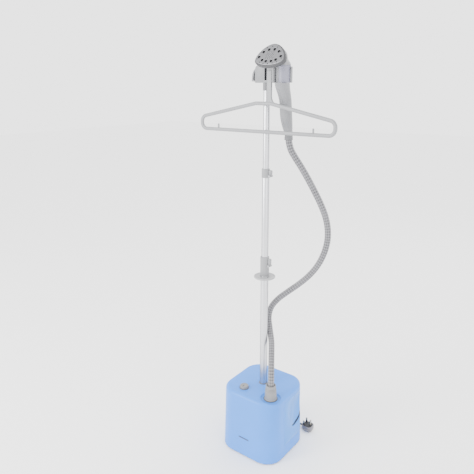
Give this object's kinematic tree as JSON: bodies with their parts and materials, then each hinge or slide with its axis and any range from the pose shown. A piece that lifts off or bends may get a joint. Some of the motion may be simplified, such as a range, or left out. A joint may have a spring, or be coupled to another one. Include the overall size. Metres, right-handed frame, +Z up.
{
  "type": "garment steamer",
  "caption": "Upright garment steamer: blue base with side water tank, telescopic pole with clothes hanger, and a steam handset on a fabric hose.",
  "frame": {"origin": "on the floor under the pole, which stands at the centre of the base", "axes": "+Z up the pole, +X towards the water tank's side and along the hanger, -Y towards the front, where the steam plate faces"},
  "size_m": [0.489, 0.376, 1.3456],
  "materials": {
    "blue_plastic": "satin",
    "pale_plastic": "satin",
    "grey_plastic": "satin",
    "dark_plastic": "satin",
    "black_rubber": "matt",
    "aluminium_tube": "polished",
    "steel": "brushed",
    "brass": "plain",
    "circuit_board": "lacquered",
    "hose_braid": "woven",
    "cord_plastic": "smooth"
  },
  "bodies": {
    "base": {"base_shell": "blue_plastic", "base_pan": "dark_plastic", "foot_front_left": "black_rubber", "foot_front_right": "black_rubber", "foot_rear_left": "black_rubber", "foot_rear_right": "black_rubber", "front_badge": "dark_plastic", "tank_bay": "grey_plastic", "valve_seat": "pale_plastic", "pump": "steel", "boiler": "aluminium_tube", "boiler_thermostat": "brass", "feed_tube": "pale_plastic", "boiler_feed_tube": "pale_plastic", "steam_pipe": "steel", "control_board": "circuit_board", "knob_switch": "dark_plastic", "hose_cuff": "pale_plastic", "pole_socket": "dark_plastic", "lower_tube": "aluminium_tube", "pole_disc": "pale_plastic", "lower_lock_collar": "pale_plastic", "lower_lock_pin": "steel", "hose_lower": "hose_braid", "cord_strain_relief": "cord_plastic", "power_cord_lead": "cord_plastic", "power_cord_coil": "cord_plastic", "power_cord_tail": "cord_plastic", "cord_tie": "black_rubber", "plug_body": "cord_plastic", "plug_pin_earth": "brass", "plug_pin_live": "brass", "plug_pin_neutral": "brass"},
    "lower_lever": {"lower_lock_lever": "pale_plastic"},
    "mid_section": {"mid_tube": "aluminium_tube", "mid_tube_bush": "dark_plastic", "upper_lock_collar": "pale_plastic", "upper_lock_pin": "steel", "hose_middle": "hose_braid"},
    "upper_lever": {"upper_lock_lever": "pale_plastic"},
    "upper_section": {"upper_tube": "aluminium_tube", "upper_tube_bush": "dark_plastic", "holder_sleeve": "dark_plastic", "holder_body": "pale_plastic", "hose_upper": "hose_braid"},
    "hanger": {"hanger": "pale_plastic"},
    "handset": {"handle_left_shell": "grey_plastic", "handle_right_shell": "grey_plastic", "neck_collar": "grey_plastic", "head_shell": "pale_plastic", "plate_gasket": "dark_plastic", "steam_plate": "steel", "handset_steam_tube": "steel", "hose_connector": "grey_plastic"},
    "control_knob": {"control_knob": "pale_plastic"},
    "water_tank": {"water_tank": "blue_plastic", "tank_valve": "black_rubber"},
    "tank_cap": {"tank_cap": "pale_plastic"}
  },
  "joints": [
    {"name": "lower_lock_flip", "type": "hinge", "parent": "base", "child": "lower_lever", "pos_m": [0.019, 0, 0.673], "axis": [0, 1, 0], "range_deg": [0, 85]},
    {"name": "mid_section_slide", "type": "slide", "parent": "base", "child": "mid_section", "axis": [0, 0, 1], "range_m": [-0.24, 0], "deforming": ["hose_lower"]},
    {"name": "upper_lock_flip", "type": "hinge", "parent": "mid_section", "child": "upper_lever", "pos_m": [0.0173, 0, 0.967], "axis": [0, 1, 0], "range_deg": [0, 85]},
    {"name": "upper_section_slide", "type": "slide", "parent": "mid_section", "child": "upper_section", "axis": [0, 0, 1], "range_m": [-0.15, 0], "deforming": ["hose_middle"]},
    {"name": "handset_lift_off", "type": "slide", "parent": "upper_section", "child": "handset", "axis": [0, -0.233, 0.9725], "range_m": [0, 0.225], "deforming": ["hose_upper"]},
    {"name": "hanger_pull_off", "type": "slide", "parent": "upper_section", "child": "hanger", "axis": [0, -1, 0], "range_m": [0, 0.12]},
    {"name": "control_knob_turn", "type": "hinge", "parent": "base", "child": "control_knob", "pos_m": [-0.035, -0.065, 0.24], "axis": [0, 0, -1], "range_deg": [0, 240]},
    {"name": "water_tank_pull", "type": "slide", "parent": "base", "child": "water_tank", "axis": [1, 0, 0], "range_m": [0, 0.11]},
    {"name": "tank_cap_twist", "type": "hinge", "parent": "water_tank", "child": "tank_cap", "pos_m": [0.072, 0.03, 0.209], "axis": [0, 0, 1], "range_deg": [0, 90]}
  ]
}
